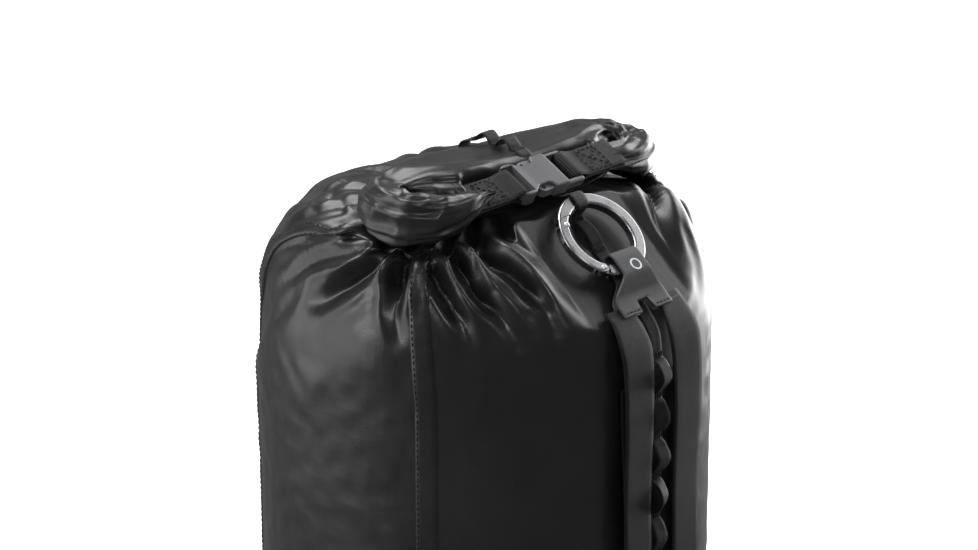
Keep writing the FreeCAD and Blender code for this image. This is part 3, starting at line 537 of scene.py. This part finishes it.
def press_folds(grid):
    """Pushes the large folds in along the surface's normal, with a soft lip on both sides."""
    height = np.zeros(grid.shape[:2])
    for depth, half, places in FOLDS:
        line = np.array(spline([grid_point(grid, *place) for place in places], 6))
        share = np.linspace(0, 1, len(line))
        fade = np.minimum(1, (0.25 + share) / 0.45) * np.minimum(1, (1 - share) / 0.45)
        gap = np.linalg.norm(grid[:, :, None, :] - line[None, None], axis=3)
        nearest = gap.argmin(axis=2)
        away = gap.min(axis=2) / (half / 1000)
        shape = np.exp(-np.abs(away) ** 1.35) - 0.38 * np.exp(-((away - 1.9) / 0.8) ** 2)
        height -= depth / 1000 * shape * fade[nearest]
    return grid + grid_normals(blurred(grid, 8)) * height[:, :, None]


def finish_wall():
    """Caps the simulation's pleats and sag, presses the folds in and closes the top under the roll."""
    stuffed = np.array(wall_grid()[0])
    moved = np.array(wall_fabric()) - stuffed
    sag = blurred(moved, 60)
    pleats = blurred(moved - sag, 2)
    size = np.linalg.norm(pleats, axis=2, keepdims=True) + 1e-9
    pleats *= np.minimum(1, PLEAT_CAP * np.tanh(size / PLEAT_CAP) / size)
    sag *= np.minimum(1, SAG_CAP / (np.linalg.norm(sag, axis=2, keepdims=True) + 1e-9))
    grid = press_folds(refined(stuffed + sag + pleats))
    grid = np.array([[tuck(Vector(p)) for p in column] for column in grid])
    top = grid[:, -1]
    middle = top * (0.55, 0.35, 1) + (-0.002, -0.014, 0.010)
    inner = [top + (middle - top) * share for share in (0.25, 0.5, 0.75, 1)]
    return np.concatenate([grid, np.stack(inner, axis=1)], axis=1)


WALL = [[Vector(p) for p in column] for column in finish_wall()]
ROWS = len(WALL[0])
TOP_ROW = ROWS - 5             # last row outside the roll


def on_wall(angle, row):
    """Point of the fabric at an angle and a row, between the grid's columns."""
    place = (angle + 180) / 360 * FINE_COLUMNS
    i, share = int(math.floor(place)), place - math.floor(place)
    j = min(max(row, 0), ROWS - 1)
    low, up = int(math.floor(j)), min(int(math.floor(j)) + 1, ROWS - 1)
    a = WALL[i % FINE_COLUMNS][low].lerp(WALL[i % FINE_COLUMNS][up], j - low)
    b = WALL[(i + 1) % FINE_COLUMNS][low].lerp(WALL[(i + 1) % FINE_COLUMNS][up], j - low)
    return a.lerp(b, share)


def wall_normal(angle, row):
    across = on_wall(angle + 1.2, row) - on_wall(angle - 1.2, row)
    along = on_wall(angle, min(row + 1.2, ROWS - 1)) - on_wall(angle, max(row - 1.2, 0))
    return across.cross(along).normalized()


def make_panels():
    for node, (start, end) in PANELS.items():
        first, last = round((start + 180) / 360 * FINE_COLUMNS), round((end + 180) / 360 * FINE_COLUMNS)
        verts, uvs, faces = [], [], []
        for i in range(first, last + 1):
            length = 0.0
            for j in range(ROWS):
                p = WALL[i % FINE_COLUMNS][j]
                if j:
                    length += (p - WALL[i % FINE_COLUMNS][j - 1]).length
                verts.append(p)
                uvs.append((2 * math.pi * SACK_R * i / FINE_COLUMNS, length))
        for i in range(last - first):
            for j in range(ROWS - 1):
                a = i * ROWS + j
                faces.append((a, a + ROWS, a + ROWS + 1, a + 1))
        name = node.replace("_panel", "_fabric")
        panel = subdivide(new_object(name, verts, faces, NYLON, uvs))
        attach(panel, "sack")
        hidden = ("packed_load", "mouth_stiffener") if node == "front_panel" else ()
        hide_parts(node, *hidden)


def make_base():
    """Round base with a soft edge and faint radial puckers from its seam."""
    rings = [(0.0, 0.0004), (0.03, 0.0006), (0.06, 0.0005), (0.085, 0.0002), (0.1, 0.0), (0.108, 0.0),
             (0.114, 0.0006), (0.120, 0.0026), (0.125, 0.0064), (0.1285, 0.0115), (0.1297, BASE_EDGE + 0.001)]
    around_count = 144
    verts, uvs, faces = [], [], []
    for k, (radius, height) in enumerate(rings):
        for i in range(around_count):
            a = 2 * math.pi * i / around_count
            pucker = 0.0005 * math.sin(36 * a) * max(0, (k - 6) / 4)
            drawn = radius - abs(pucker)
            verts.append(Vector((drawn * math.sin(a), -drawn * math.cos(a), height)))
            uvs.append((verts[-1].x, verts[-1].y))
    for k in range(len(rings) - 1):
        for i in range(around_count):
            n = (i + 1) % around_count
            faces.append((k * around_count + i, k * around_count + n, (k + 1) * around_count + n,
                          (k + 1) * around_count + i))
    base = new_object("base_fabric", verts, [f[::-1] for f in faces], NYLON, uvs)
    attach(base, "sack")
    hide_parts("base_panel")

    points = [around(a, 0.1305) + Z * (BASE_EDGE + 0.0004 * math.sin(math.radians(a * 7)))
              for a in range(0, 361, 6)]
    band = tape("base_binding_tape", points, Z, 0.011, 0.0011, WEBBING, crown=0.0002)
    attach(band, "sack")
    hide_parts("base_binding")
    runs = [[(around(a, 0.1312) + Z * (BASE_EDGE + dz), around(a, 1)) for a in range(0, 361, 2)]
            for dz in (-0.0038, 0.0038)]
    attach(stitches("base_binding_stitching", runs, THREAD), "sack")


def seam_shift(lean, row):
    """How far a seam that leans has moved round the sack at a row, in degrees."""
    return lean * min(1, max(0, (row - 2 * WALL_ROWS + 4) / 44)) ** 1.4


def make_seams():
    """Felled seams: a doubled strip standing a little proud, with two rows of stitches."""
    for node, angle in SEAMS.items():
        half = 0.0062 / SACK_R * 180 / math.pi
        lean = SEAM_LEAN.get(node, 0.0)
        span = range(8, TOP_ROW - 4)
        verts, uvs, faces = [], [], []
        profile = ((-1.0, 0.0), (-0.94, 0.0006), (-0.5, 0.0008), (0.0, 0.0007), (0.5, 0.0008), (0.94, 0.0006),
                   (1.0, 0.0))
        for k, row in enumerate(span):
            pucker = 0.00018 * math.sin(k * 1.9) + 0.00012 * math.sin(k * 0.73)
            for u, rise in profile:
                at = angle + seam_shift(lean, row) + u * half
                verts.append(on_wall(at, row) + wall_normal(at, row) * (rise + pucker * (1 - abs(u))))
                uvs.append((k * 0.0026, u * 0.0062))
        count = len(profile)
        for k in range(len(span) - 1):
            for i in range(count - 1):
                a = k * count + i
                faces.append((a, a + 1, a + count + 1, a + count))
        seam = new_object(node.replace("_seam", "_felled_seam"), verts, faces, NYLON, uvs)
        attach(seam, "sack")
        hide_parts(node)
        runs = []
        for u in (-0.78, 0.78):
            run = []
            for row in span:
                at = angle + u * half + seam_shift(lean, row)
                out = wall_normal(at, row)
                run.append((on_wall(at, row) + out * 0.0007, out))
            runs.append(run)
        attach(stitches(node.replace("_seam", "_stitching"), runs, THREAD), "sack")


# ---------------------------------------------------------------- the rolled mouth
def closure(x, y, z):
    """Point in the buckle's own axes, in mm from its middle."""
    turn = Matrix.Rotation(CLOSURE_TILT, 3, "X")
    return CLOSURE + turn @ mm(x, y, z)


def roll_surface():
    """Grid of the roll's points: stations along it, each a soft-cornered section."""
    stations = spline(ROLL, 12)
    path = [mm(*s[:3]) for s in stations]
    around_count = 72
    verts = []
    for k, s in enumerate(stations):
        along = (path[min(k + 1, len(path) - 1)] - path[max(k - 1, 0)]).normalized()
        side = Z.cross(along).normalized()
        up = along.cross(side)
        turn = Quaternion(along, math.radians(s[5]) * (-1 if k < len(stations) / 2 else 1) * -1)
        side, up = turn @ side, turn @ up
        for i in range(around_count):
            a = 2 * math.pi * i / around_count
            c, t = math.cos(a), math.sin(a)
            u, v = math.copysign(abs(c) ** 0.75, c), math.copysign(abs(t) ** 0.75, t)
            verts.append(path[k] + (side * (u * s[3]) + up * (v * s[4])) / 1000)
    faces = []
    for k in range(len(stations) - 1):
        for i in range(around_count):
            n = (i + 1) % around_count
            faces.append((k * around_count + i, (k + 1) * around_count + i, (k + 1) * around_count + n,
                          k * around_count + n))
    return verts, faces, len(stations), around_count


def seat(p):
    """Keeps the roll under the buckle and its webbing."""
    local = Matrix.Rotation(-CLOSURE_TILT, 3, "X") @ (p - CLOSURE)
    inside = min(1, max(0, (0.062 - abs(p.x + 0.004)) / 0.008)) * min(1, max(0, (0.0150 - local.y) / 0.004))
    over = local.z + CLOSURE_SEAT + 0.0002
    if over > 0 and inside > 0:
        local.z -= over * inside
        p = CLOSURE + Matrix.Rotation(CLOSURE_TILT, 3, "X") @ local
    return p


def wrinkle_roll(points, stations, count):
    """Long streaks over the middle of the roll, and sharper loop folds where its ends turn."""
    out = []
    centres = [sum(points[k * count:(k + 1) * count], Vector()) / count for k in range(stations)]
    for index, p in enumerate(points):
        station, turn = index // count, 2 * math.pi * (index % count) / count
        share = station / (stations - 1)
        bend = max(math.exp(-((share - 0.24) / 0.12) ** 2), math.exp(-((share - 0.80) / 0.12) ** 2))
        pinch = math.exp(-(share / 0.10) ** 2) + math.exp(-((1 - share) / 0.10) ** 2)
        streak = noise.noise(Vector((share * 7 + 3, math.cos(turn) * 2.6, math.sin(turn) * 2.6)))
        fine = noise.noise(Vector((share * 16 + 9, math.cos(turn) * 6, math.sin(turn) * 6)))
        loop = noise.noise(Vector((share * 17, math.cos(turn) * 0.9, math.sin(turn) * 0.9)))
        wave = (0.5 - abs(streak) * 2.4) * (0.0022 - 0.0008 * bend) + (0.3 - abs(fine)) * 0.0006
        wave += (0.4 - abs(loop) * 2.2) * 0.0026 * bend + (0.5 - abs(fine) * 2.4) * 0.0009 * pinch
        outward = (p - centres[station]).normalized()
        out.append(p + outward * (wave - 0.0012))
    return out


def make_roll():
    verts, faces, stations, count = roll_surface()
    shaped = []
    for index, p in enumerate(verts):
        station = index // count
        middle = abs(p.x + 0.004) < 0.052 and stations * 0.3 < station < stations * 0.7
        shaped.append(seat(p) if middle else p)
    shaped = wrinkle_roll(shaped, stations, count)
    uvs = []
    for index, p in enumerate(shaped):
        uvs.append((index // count * 0.0031, index % count * 0.0026))
    caps = [tuple(range(count)), tuple((stations - 1) * count + i for i in range(count))[::-1]]
    roll = subdivide(new_object("rolled_mouth", shaped, faces + caps, NYLON, uvs))
    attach(roll, "sack")
    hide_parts("rolled_collar")


make_panels()
make_base()
make_seams()
make_roll()


# ---------------------------------------------------------------- closure webbing
def make_webbings():
    """Doubled webbing round each bar, with a box of stitches where it is sewn to the fabric."""
    for node, bar, end, away in (("left_closure_webbing", -17.0, -56.0, -1),
                                 ("right_closure_webbing", 27.4, 66.0, 1)):
        eye = 3.5
        upper = [(end, 1.4), (bar + away * 17, 0.9), (bar + away * 9, 1.1), (bar + away * 3.5, 2.6),
                 (bar, eye)]
        bend = [(bar - away * eye * 0.75, eye * 0.68), (bar - away * eye, 0.0),
                (bar - away * eye * 0.75, -eye * 0.68)]
        lower = [(x, -z) for x, z in reversed(upper)]
        points = [closure(x, 0, z) for x, z in upper + bend + lower]
        side = (closure(0, 1, 0) - closure(0, 0, 0)).normalized()
        web = tape(node + "_ribbed", points, side, 0.020, 0.0013, WEBBING, per=8, across=8)
        up = (closure(0, 0, 1) - closure(0, 0, 0)).normalized()
        box_near, box_far = bar + away * 12, bar + away * 27
        corners = [(box_near, -8), (box_near, 8), (box_far, 8), (box_far, -8), (box_near, -8), (box_far, 8)]
        cross = [(box_near, 8), (box_far, -8)]
        runs = []
        for route in (corners, cross):
            run = []
            for (x0, y0), (x1, y1) in zip(route, route[1:]):
                for k in range(12):
                    t = k / 12
                    run.append((closure(x0 + (x1 - x0) * t, y0 + (y1 - y0) * t, 1.85), up))
            runs.append(run)
        sewn = stitches(node + "_stitching", runs, THREAD, length=0.0026, gap=0.0009, radius=0.00034)
        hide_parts(node)
        if node.startswith("left"):
            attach(web, "sack")
            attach(sewn, "sack")
        else:
            for piece in (web, sewn):
                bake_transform(piece)


make_webbings()


# ---------------------------------------------------------------- tab, straps and chain
def on_shoulder(s, v, x=0.0):
    """Point s mm up the front shoulder from the ring's middle and v mm out of the ring's plane."""
    turn = Matrix.Rotation(RING_TILT, 3, "X")
    return RING + turn @ mm(x, s, v)


def make_tab():
    """Leather tab folded round the ring, flaring to two stitched legs."""
    front = [(-49.5, -2.3), (-46, -2.3), (-42, -2.2), (-37, -1.4), (-32.5, 1.6), (-28, 4.0), (-22, 4.3),
             (-17, 4.2), (-13.9, 3.0), (-12.9, 0.0), (-13.9, -3.0), (-17, -4.2), (-22, -4.2), (-28, -4.25),
             (-34, -4.9), (-42, -5.0), (-46, -5.0), (-49.5, -5.0)]
    path = spline(front, 6)
    verts, uvs, faces = [], [], []
    across = 20
    for k, (s, v) in enumerate(path):
        flare = min(1, max(0, (-26 - s) / 15))
        flare = flare * flare * (3 - 2 * flare)
        half = 10.0 + 9.2 * flare
        middle = 3.5 * (1 - flare)
        for i in range(across + 1):
            u = 2 * i / across - 1
            notch = 8.5 * math.exp(-((u * half) / 4.2) ** 2) * flare
            trim = max(0.0, (-41.5 - s)) if abs(u * half) < 5.4 else 0.0
            up = s + (trim if notch > 1 else 0.0)
            verts.append(on_shoulder(up, v, middle + u * half))
            uvs.append((k * 0.0012, u * half / 1000))
    for k in range(len(path) - 1):
        for i in range(across):
            a = k * (across + 1) + i
            quad = (a, a + 1, a + across + 2, a + across + 1)
            left, right = verts[quad[0]] - verts[quad[3]], verts[quad[1]] - verts[quad[2]]
            if left.length > 2e-5 or right.length > 2e-5:
                faces.append(quad)
    tab = new_object("leather_tab", verts, faces, TAB, uvs)
    solid = tab.modifiers.new("thickness", "SOLIDIFY")
    solid.thickness, solid.offset = 0.0013, 0.0
    edge = tab.modifiers.new("edge", "BEVEL")
    edge.width, edge.segments, edge.limit_method = 0.0003, 2, "ANGLE"
    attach(tab, "sack")
    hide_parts("strap_tab")
    runs = []
    out = (on_shoulder(0, 1) - on_shoulder(0, 0)).normalized()
    for left, right in ((-17.5, -6.5), (6.5, 17.5)):
        runs.append([(on_shoulder(-47.6, -1.55, left + (right - left) * k / 10), out) for k in range(11)])
    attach(stitches("tab_stitching", runs, THREAD, length=0.0022, gap=0.0007, radius=0.0003), "sack")
    mark = []
    for k in range(33):
        a = 2 * math.pi * k / 32
        mark.append(on_shoulder(-24.5 + 3.2 * math.cos(a), 4.98, 5.0 + 3.2 * math.sin(a)))
    sides = [(p - on_shoulder(-24.5, 4.98, 5.0)).normalized() for p in mark]
    plate = tape("tab_mark", mark, sides, 0.0011, 0.00015, MARK, per=2, across=2)
    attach(plate, "sack")


def strap_route(lean, slack):
    """Strap down the front, round its keeper and back up; lean moves the rear ply sideways."""
    top = [on_shoulder(-43, -3.65), on_shoulder(-46.5, -3.65), on_shoulder(-50, -3.65)]
    front = [mm(0, -131.5, 344), mm(0, -134.6 - slack * 0.4, 331), mm(0, -135.6 - slack, 300),
             mm(0, -135.2 - slack * 0.6, 255), mm(0, -135.6 - slack, 205), mm(0, -134.8 - slack * 0.3, 150),
             mm(0, -135.1, 100), mm(0, -135.0, 66)]
    turn = [mm(0, -135.0, 56), mm(0, -133.2, 52.6), mm(0, -131.4, 56)]
    back = [mm(lean * 0.1, -131.1, 66), mm(lean * 0.4, -131.2, 110), mm(lean * 0.9, -131.9, 160),
            mm(lean * 1.2, -132.4, 205), mm(lean, -131.9, 255), mm(lean * 0.7, -131.3, 290),
            mm(lean * 0.5, -131.0, 318)]
    return top + front + turn + back


def make_straps():
    for node, side, lean, slack in (("left_carry_strap", -1, 4.5, 0.6), ("right_carry_strap", 1, 10.0, 1.4)):
        route = strap_route(lean, slack)
        points, sides, widths = [], [], []
        for k, p in enumerate(route):
            behind = k > 12
            x = side * 0.0195 + p.x
            drop = SACK_R + 0.0006 - math.sqrt(max(0, (SACK_R + 0.0006) ** 2 - x * x))
            points.append(Vector((x, p.y + (drop * 0.9 if behind else 0), p.z)))
            twist = 0.05 * math.sin(k * 1.3) * (2 < k < 9)
            roll = math.asin(max(-1, min(1, x / SACK_R))) if behind else twist
            sides.append(Vector((math.cos(roll), math.sin(roll), 0)))
            widths.append(0.0195 if k < 3 or (behind and side < 0) else 0.0228)
        strap = tape(node + "_ribbon", points, sides, widths, 0.0012, RIBBON, per=8, across=8)
        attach(strap, "sack")
        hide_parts(node)


def make_keepers():
    for node, side in (("left_strap_keeper", -1), ("right_strap_keeper", 1)):
        flat = [(5.6, -129.6), (6.0, -131.6), (7.6, -133.1), (12, -133.15), (19.5, -133.2), (28, -133.15),
                (31, -132.6), (33.8, -130.2), (37, -126.6), (41, -124.2)]
        points = [mm(side * x, y, 65) for x, y in flat]
        keeper = tape(node + "_webbing", points, Z, 0.0138, 0.0012, WEBBING)
        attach(keeper, "sack")
        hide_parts(node)


def loop_points(pitch, rise):
    foot, lean = 1.8, 0.12 * pitch
    return [(foot, 0.5), (foot + lean, rise * 0.5), (pitch / 2, rise - 0.5),
            (pitch - foot - lean, rise * 0.5), (pitch - foot, 0.5)]


def chain_route():
    """Middle line of the chain tape, and the place, direction and outward direction of each tack."""
    wall, bottom, loops, pitch = 130, 44, 12, 24         # up the wall, in mm
    points, tacks, loose = [mm(0, -130.5, 40.4)], [], [0]
    for i in range(loops):
        for u, v in loop_points(pitch, 8.0 + 0.9 * math.sin(i * 2.4)):
            points.append(mm(0, -wall - v, bottom + pitch * i + u))
            loose.append(math.sin(i * 1.7 + 0.6) * (v > 2))
    tacks += [(mm(0, -wall, bottom + pitch * i), Z, -Y) for i in range(loops + 1)]

    dome_foot, dome_rise, dome_reach, flat = 325, 74, 80, 50    # the shoulder's ellipse round its flat middle
    lift = 0.6                                           # of the tape's middle line over it
    for z in (dome_foot + 13, dome_foot + 20):
        reach = flat + dome_reach * math.sqrt(1 - ((z - dome_foot) / dome_rise) ** 2)
        points.append(mm(0, -reach - lift, z))
    points += [on_shoulder(s, -6.4) for s in (-46, -40, -26, -11.7)]
    points += [on_shoulder(-4.7 + u, -6.9 + v) for u, v in loop_points(21.6, 3.6)]
    normal = (on_shoulder(0, 1) - on_shoulder(0, 0)).normalized()
    slope = (on_shoulder(1, 0) - on_shoulder(0, 0)).normalized()
    tacks += [(on_shoulder(-4.7 + u, -6.9), slope, normal) for u in (0, 21.6)]

    to_buckle = ((18.4, -5.0), (18.7, -1.0), (19.7, 3.1), (23.9, 4.0), (28.0, 3.2), (29.4, 0.2))
    points += [on_shoulder(s, v) for s, v in to_buckle]
    points += [closure(10, y, -5.7) for y in (-11.5, -6, 0, 6, 11.3)]
    tacks.append((closure(10, 6.5, -6.2), (closure(0, 1, 0) - closure(0, 0, 0)).normalized(),
                  (closure(0, 0, 1) - closure(0, 0, 0)).normalized()))

    roll_top, corner_radius, off = 425, 4, 0.75          # the turn from under the buckle onto the roll, in mm
    corner = closure(10, 14.9, -6.2) * 1000
    slant = (corner_radius + off) * math.sqrt(0.5)
    turn_y, turn_z = corner.y + corner_radius, roll_top - corner_radius
    turn = [(corner.y - off, corner.z + 2.4), (corner.y - off, turn_z), (turn_y - slant, turn_z + slant),
            (turn_y, roll_top + off)]
    points += [mm(0, y, z) for y, z in turn]
    first, last = corner.y + 5.5, 6
    span = (last - first) / 2
    for i in range(2):
        points += [mm(0, first + span * i + u, roll_top + v) for u, v in loop_points(span, 6.5)]
    tacks += [(mm(0, first + span * i, roll_top), Y, Z) for i in range(3)]
    points += [mm(0, 14.5, 422.4), mm(0, 16.5, 415), mm(0, 16.5, 404)]
    loose += [0] * (len(points) - len(loose))
    return points, loose, tacks


def make_chain():
    points, loose, tacks = chain_route()
    sides = []
    for p, twist in zip(points, loose):
        sides.append(Quaternion(Z, 0.42 * twist) @ X)
    swayed = [p + X * (0.0012 * t) for p, t in zip(points, loose)]
    tape_piece = tape("chain_tape", swayed, sides, 0.0094, 0.0009, CHAIN, per=6, across=6)
    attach(tape_piece, "sack")
    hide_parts("daisy_chain")
    runs = []
    for at, along, out in tacks:
        for k in range(5):
            u = (k - 2) * 0.0006
            runs.append([(at + out * 0.00115 + along * u + X * x, out) for x in (-0.0040, 0, 0.0040)])
    tack_piece = stitches("chain_tacks", runs, THREAD, length=0.0019, gap=0.0001, radius=0.00034)
    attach(tack_piece, "sack")
    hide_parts("chain_bar_tacks")


make_tab()
make_straps()
make_keepers()
make_chain()


# ---------------------------------------------------------------- stage, light and camera
def area_light(name, place, target, size, power, color=(1, 1, 1)):
    lamp = bpy.data.lights.new(name, "AREA")
    lamp.shape, lamp.size, lamp.size_y = "RECTANGLE", size[0], size[1]
    lamp.energy, lamp.color = power, color
    obj = bpy.data.objects.new(name, lamp)
    obj.location = place
    obj.rotation_mode = "QUATERNION"
    obj.rotation_quaternion = (Vector(target) - Vector(place)).to_track_quat("-Z", "Y")
    obj.visible_camera = False
    bpy.context.collection.objects.link(obj)


def make_stage():
    """White sweep that runs back from the sack and up behind it."""
    paper, tree, shader = material("pale_floor", (0.9, 0.9, 0.9), 0.9)
    fibre = add(tree, "ShaderNodeTexNoise", Scale=60.0, Detail=4.0)
    bump(tree, shader, fibre.outputs["Fac"], 0.05, 0.0005)
    shader.inputs["Emission Color"].default_value = (1, 1, 1, 1)
    shader.inputs["Emission Strength"].default_value = 0.55
    toward = Vector((math.sin(math.radians(134)), -math.cos(math.radians(134)), 0))
    side = Z.cross(toward)
    profile = [(-0.55, 0), (3.2, 0)]
    bends = [k * math.pi / 16 for k in range(1, 9)]
    profile += [(3.2 + 1.2 * math.sin(a), 1.2 - 1.2 * math.cos(a)) for a in bends]
    profile.append((4.4, 7))
    verts = [toward * run + side * across + Z * rise for run, rise in profile for across in (-7, 7)]
    faces = [(2 * k, 2 * k + 1, 2 * k + 3, 2 * k + 2) for k in range(len(profile) - 1)]
    floor = new_object("floor", verts, faces, paper)
    floor.visible_glossy = False
    world = bpy.data.worlds.new("studio")
    bpy.context.scene.world = world
    world.use_nodes = True
    room = world.node_tree.nodes["Background"]
    room.inputs["Color"].default_value = (0.86, 0.87, 0.88, 1)
    room.inputs["Strength"].default_value = 0.24
    area_light("right_softbox", (1.3, -0.05, 0.60), (0, 0, 0.30), (1.2, 1.5), 26)
    area_light("low_right_panel", (0.84, 0.12, 0.24), (0, 0, 0.25), (0.8, 0.48), 3.2)
    area_light("low_left_panel", (-0.70, 0.52, 0.26), (0, 0, 0.30), (1.0, 0.5), 3.4)
    area_light("top_softbox", (-0.1, 0.55, 1.5), (0, 0, 0.35), (1.3, 0.7), 24)
    area_light("left_strip", (-1.5, 0.35, 0.9), (0, 0, 0.33), (0.35, 1.2), 11)
    area_light("front_kicker", (-0.6, -1.4, 1.5), (0, -0.05, 0.40), (0.5, 0.3), 8)


def make_camera():
    """Same viewing angle as the photograph: front left, from a little above."""
    azimuth, elevation, distance = math.radians(-46), math.radians(20), 2.0
    back = Vector((math.sin(azimuth) * math.cos(elevation), -math.cos(azimuth) * math.cos(elevation),
                   math.sin(elevation)))
    right = Vector((math.cos(azimuth), math.sin(azimuth), 0))
    camera = bpy.data.objects.new("camera", bpy.data.cameras.new("camera"))
    camera.data.lens = 129.4
    camera.location = Z * 0.345 + right * 0.0023 + back * distance
    camera.rotation_mode = "QUATERNION"
    camera.rotation_quaternion = (-back).to_track_quat("-Z", "Y")
    bpy.context.collection.objects.link(camera)
    bpy.context.scene.camera = camera


make_stage()
make_camera()
bpy.context.scene.view_settings.view_transform = "Standard"
